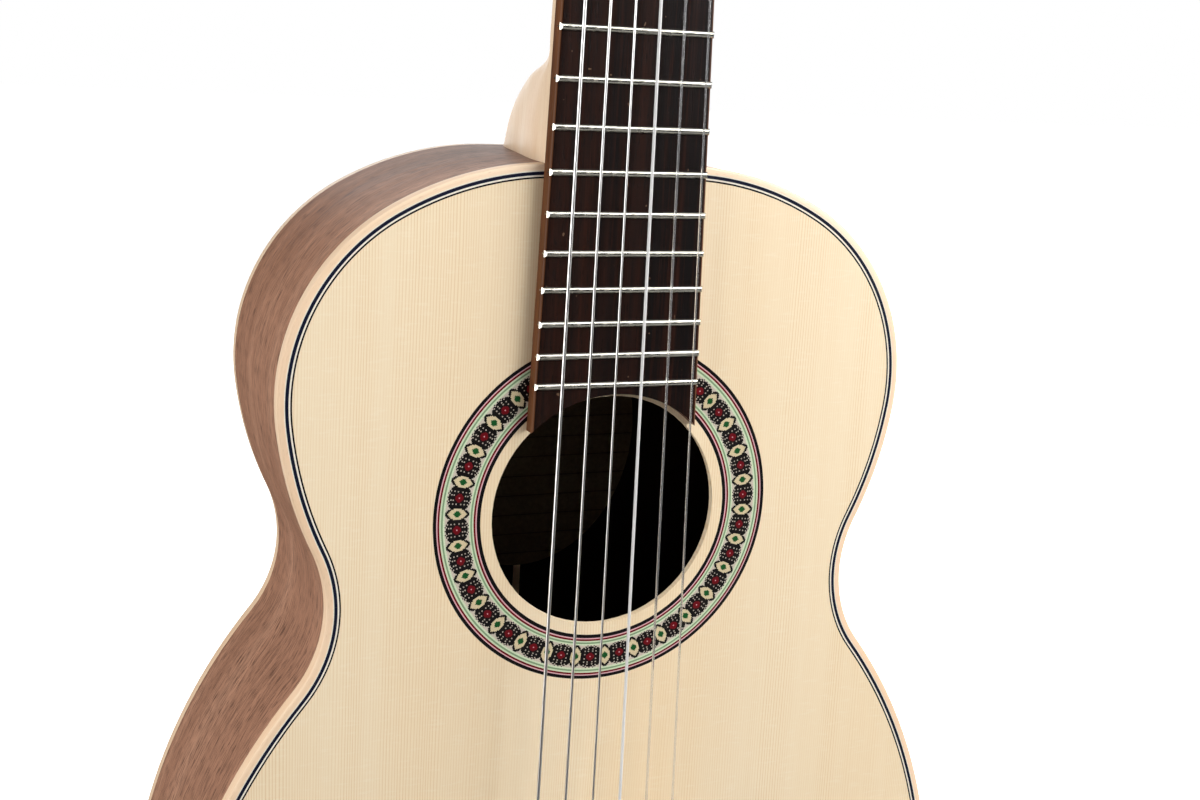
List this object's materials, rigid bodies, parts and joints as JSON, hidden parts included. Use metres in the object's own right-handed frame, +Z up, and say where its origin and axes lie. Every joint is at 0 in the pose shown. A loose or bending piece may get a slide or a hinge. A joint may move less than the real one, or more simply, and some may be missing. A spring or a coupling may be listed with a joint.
{
  "type": "classical guitar",
  "caption": "Small classical guitar with a slotted head, geared tuning machines, a hollow figure-of-eight body, a mosaic rosette and a tie bridge, strung and ready to play.",
  "frame": {"origin": "on the centre line where the fingerboard meets the nut, in the plane of the soundboard's face", "axes": "+Z up the neck towards the head, -Y out of the soundboard's face, +X to the treble side"},
  "size_m": [0.297, 0.1059, 0.7765],
  "materials": {
    "spruce": "satin lacquer",
    "walnut": "satin lacquer",
    "maple_neck": "satin lacquer",
    "maple_binding": "satin lacquer",
    "inlay": "flush inlay",
    "rosette_inlay": "flush mosaic inlay",
    "rosewood": "oiled, dark",
    "inner_wood": "raw",
    "fret_wire": "polished nickel silver",
    "bone": "polished bone white",
    "wound_string": "silver wound",
    "nylon": "clear nylon",
    "plate_metal": "polished",
    "gear_metal": "machined",
    "worm_steel": "plated",
    "screw_metal": "plated",
    "roller": "white",
    "button_pearl": "pearl",
    "label_paper": "matte"
  },
  "bodies": {
    "guitar": {"soundboard": "spruce", "rosette": "rosette_inlay", "top_purfling": "inlay", "top_binding": "maple_binding", "back_binding": "maple_binding", "rib_bass": "walnut", "rib_treble": "walnut", "end_graft": "maple_binding", "back_plate": "walnut", "back_strip": "maple_binding", "neck_foot": "maple_neck", "tail_block": "inner_wood", "linings": "inner_wood", "harmonic_bars": "inner_wood", "fan_braces": "inner_wood", "back_braces": "inner_wood", "label": "label_paper", "neck": "maple_neck", "headstock": "maple_neck", "headstock_veneer": "rosewood", "fingerboard": "rosewood", "frets": "fret_wire", "nut": "bone", "saddle": "bone", "bridge": "rosewood", "tie_block_caps": "bone", "tuner_plate_bass": "plate_metal", "tuner_plate_treble": "plate_metal", "plate_screws": "screw_metal", "string_6": "wound_string", "string_5": "wound_string", "string_4": "wound_string", "string_3": "nylon", "string_2": "nylon", "string_1": "nylon"},
    "roller_6": {"barrel_6": "roller", "gear_6": "gear_metal"},
    "key_6": {"worm_6": "worm_steel", "button_6": "button_pearl"},
    "roller_5": {"barrel_5": "roller", "gear_5": "gear_metal"},
    "key_5": {"worm_5": "worm_steel", "button_5": "button_pearl"},
    "roller_4": {"barrel_4": "roller", "gear_4": "gear_metal"},
    "key_4": {"worm_4": "worm_steel", "button_4": "button_pearl"},
    "roller_3": {"barrel_3": "roller", "gear_3": "gear_metal"},
    "key_3": {"worm_3": "worm_steel", "button_3": "button_pearl"},
    "roller_2": {"barrel_2": "roller", "gear_2": "gear_metal"},
    "key_2": {"worm_2": "worm_steel", "button_2": "button_pearl"},
    "roller_1": {"barrel_1": "roller", "gear_1": "gear_metal"},
    "key_1": {"worm_1": "worm_steel", "button_1": "button_pearl"}
  },
  "joints": [
    {"name": "roller_turn_6", "type": "hinge", "parent": "guitar", "child": "roller_6", "pos_m": [-0.015, 0.01768, 0.04697], "axis": [1, 0, 0], "continuous": true},
    {"name": "key_turn_6", "type": "hinge", "parent": "guitar", "child": "key_6", "pos_m": [-0.0336, 0.01557, 0.03853], "axis": [0, -0.9703, 0.2419], "continuous": true},
    {"name": "roller_turn_5", "type": "hinge", "parent": "guitar", "child": "roller_5", "pos_m": [-0.015, 0.02615, 0.08093], "axis": [1, 0, 0], "continuous": true},
    {"name": "key_turn_5", "type": "hinge", "parent": "guitar", "child": "key_5", "pos_m": [-0.0336, 0.02404, 0.07249], "axis": [0, -0.9703, 0.2419], "continuous": true},
    {"name": "roller_turn_4", "type": "hinge", "parent": "guitar", "child": "roller_4", "pos_m": [-0.015, 0.03461, 0.11489], "axis": [1, 0, 0], "continuous": true},
    {"name": "key_turn_4", "type": "hinge", "parent": "guitar", "child": "key_4", "pos_m": [-0.0336, 0.03251, 0.10645], "axis": [0, -0.9703, 0.2419], "continuous": true},
    {"name": "roller_turn_3", "type": "hinge", "parent": "guitar", "child": "roller_3", "pos_m": [0.015, 0.03461, 0.11489], "axis": [1, 0, 0], "continuous": true},
    {"name": "key_turn_3", "type": "hinge", "parent": "guitar", "child": "key_3", "pos_m": [0.0336, 0.03251, 0.10645], "axis": [0, -0.9703, 0.2419], "continuous": true},
    {"name": "roller_turn_2", "type": "hinge", "parent": "guitar", "child": "roller_2", "pos_m": [0.015, 0.02615, 0.08093], "axis": [1, 0, 0], "continuous": true},
    {"name": "key_turn_2", "type": "hinge", "parent": "guitar", "child": "key_2", "pos_m": [0.0336, 0.02404, 0.07249], "axis": [0, -0.9703, 0.2419], "continuous": true},
    {"name": "roller_turn_1", "type": "hinge", "parent": "guitar", "child": "roller_1", "pos_m": [0.015, 0.01768, 0.04697], "axis": [1, 0, 0], "continuous": true},
    {"name": "key_turn_1", "type": "hinge", "parent": "guitar", "child": "key_1", "pos_m": [0.0336, 0.01557, 0.03853], "axis": [0, -0.9703, 0.2419], "continuous": true}
  ],
  "couplings": [
    {"joint": "roller_turn_6", "follows": "key_turn_6", "ratio": -0.066667},
    {"joint": "roller_turn_5", "follows": "key_turn_5", "ratio": -0.066667},
    {"joint": "roller_turn_4", "follows": "key_turn_4", "ratio": -0.066667},
    {"joint": "roller_turn_3", "follows": "key_turn_3", "ratio": 0.066667},
    {"joint": "roller_turn_2", "follows": "key_turn_2", "ratio": 0.066667},
    {"joint": "roller_turn_1", "follows": "key_turn_1", "ratio": 0.066667}
  ]
}
